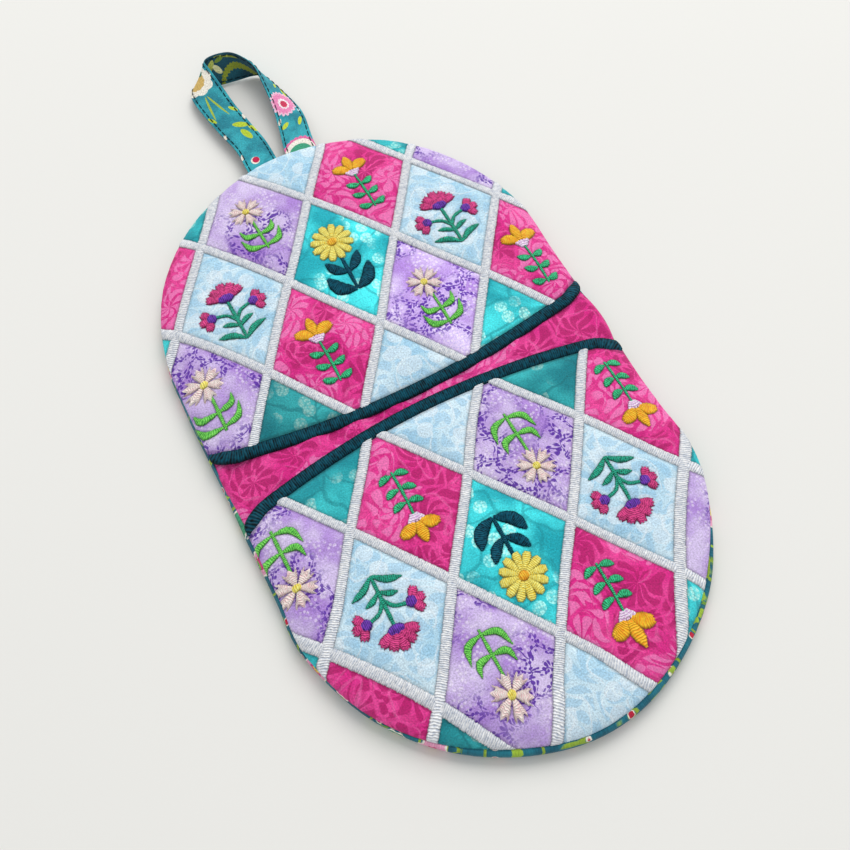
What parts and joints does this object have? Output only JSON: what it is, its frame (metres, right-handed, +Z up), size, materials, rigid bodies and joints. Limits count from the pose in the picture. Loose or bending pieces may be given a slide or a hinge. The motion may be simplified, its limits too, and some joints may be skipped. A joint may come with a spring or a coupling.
{
  "type": "needle case",
  "caption": "Quilted folding case with two facing patchwork pockets, satin-edged mouths at the fold and a fabric hanging loop.",
  "frame": {"origin": "middle of the open case with its loop, on the surface that it lies on, 24.8 mm to the loop side of the fold line", "axes": "+Y along the case towards the hanging loop, +X across it along the fold, +Z up out of the patchwork face"},
  "size_m": [0.134, 0.2696, 0.0127],
  "materials": {
    "cover_print": "teal floral cotton print",
    "lining_print": "pink leaf cotton print",
    "wadding": "soft white batting",
    "mouth_satin": "dense dark teal satin stitch",
    "lattice_satin": "silver-grey satin stitch",
    "patch_pink": "pink leaf cotton print",
    "patch_lilac": "mottled lilac cotton print",
    "patch_teal": "mottled teal cotton print",
    "patch_blue": "pale blue cotton print"
  },
  "bodies": {
    "upper_half": {"upper_back_cover": "cover_print", "upper_base_wadding": "wadding", "upper_inner_lining": "lining_print"},
    "lower_half": {"lower_back_cover": "cover_print", "lower_base_wadding": "wadding", "lower_inner_lining": "lining_print"},
    "upper_pocket": {"upper_mouth_satin": "mouth_satin", "upper_patch_row1_1_teal": "patch_teal", "upper_patch_row1_2_blue": "patch_blue", "upper_patch_row1_3_teal": "patch_teal", "upper_patch_row2_1_pink": "patch_pink", "upper_patch_row2_2_lilac": "patch_lilac", "upper_patch_row2_3_pink": "patch_pink", "upper_patch_row2_4_lilac": "patch_lilac", "upper_patch_row3_1_blue": "patch_blue", "upper_patch_row3_2_teal": "patch_teal", "upper_patch_row3_3_blue": "patch_blue", "upper_patch_row4_1_lilac": "patch_lilac", "upper_patch_row4_2_pink": "patch_pink", "upper_patch_row4_3_lilac": "patch_lilac", "upper_patch_row4_4_pink": "patch_pink", "upper_patch_row5_1_teal": "patch_teal", "upper_patch_row5_2_blue": "patch_blue", "upper_patch_row5_3_teal": "patch_teal", "upper_pocket_lining": "lining_print", "upper_pocket_wadding": "wadding", "upper_satin_lattice": "lattice_satin"},
    "lower_pocket": {"lower_mouth_satin": "mouth_satin", "lower_patch_row1_1_teal": "patch_teal", "lower_patch_row1_2_blue": "patch_blue", "lower_patch_row1_3_teal": "patch_teal", "lower_patch_row2_1_pink": "patch_pink", "lower_patch_row2_2_lilac": "patch_lilac", "lower_patch_row2_3_pink": "patch_pink", "lower_patch_row2_4_lilac": "patch_lilac", "lower_patch_row3_1_blue": "patch_blue", "lower_patch_row3_2_teal": "patch_teal", "lower_patch_row3_3_blue": "patch_blue", "lower_patch_row4_1_lilac": "patch_lilac", "lower_patch_row4_2_pink": "patch_pink", "lower_patch_row4_3_lilac": "patch_lilac", "lower_patch_row4_4_pink": "patch_pink", "lower_patch_row5_1_teal": "patch_teal", "lower_patch_row5_2_blue": "patch_blue", "lower_patch_row5_3_teal": "patch_teal", "lower_pocket_lining": "lining_print", "lower_pocket_wadding": "wadding", "lower_satin_lattice": "lattice_satin"},
    "hanging_loop": {"hanging_loop": "cover_print"}
  },
  "joints": [
    {"name": "centre_fold", "type": "hinge", "parent": "upper_half", "child": "lower_half", "pos_m": [0, -0.0248, 0], "axis": [1, 0, 0], "range_deg": [-8, 165]},
    {"name": "upper_pocket_open", "type": "hinge", "parent": "upper_half", "child": "upper_pocket", "pos_m": [0, 0.0822, 0.0045], "axis": [-1, 0, 0], "range_deg": [0, 10]},
    {"name": "lower_pocket_open", "type": "hinge", "parent": "lower_half", "child": "lower_pocket", "pos_m": [0, -0.1318, 0.0045], "axis": [1, 0, 0], "range_deg": [0, 10]},
    {"name": "loop_swing", "type": "hinge", "parent": "upper_half", "child": "hanging_loop", "pos_m": [0, 0.0864, 0.0045], "axis": [1, 0, 0], "range_deg": [-45, 100]}
  ]
}
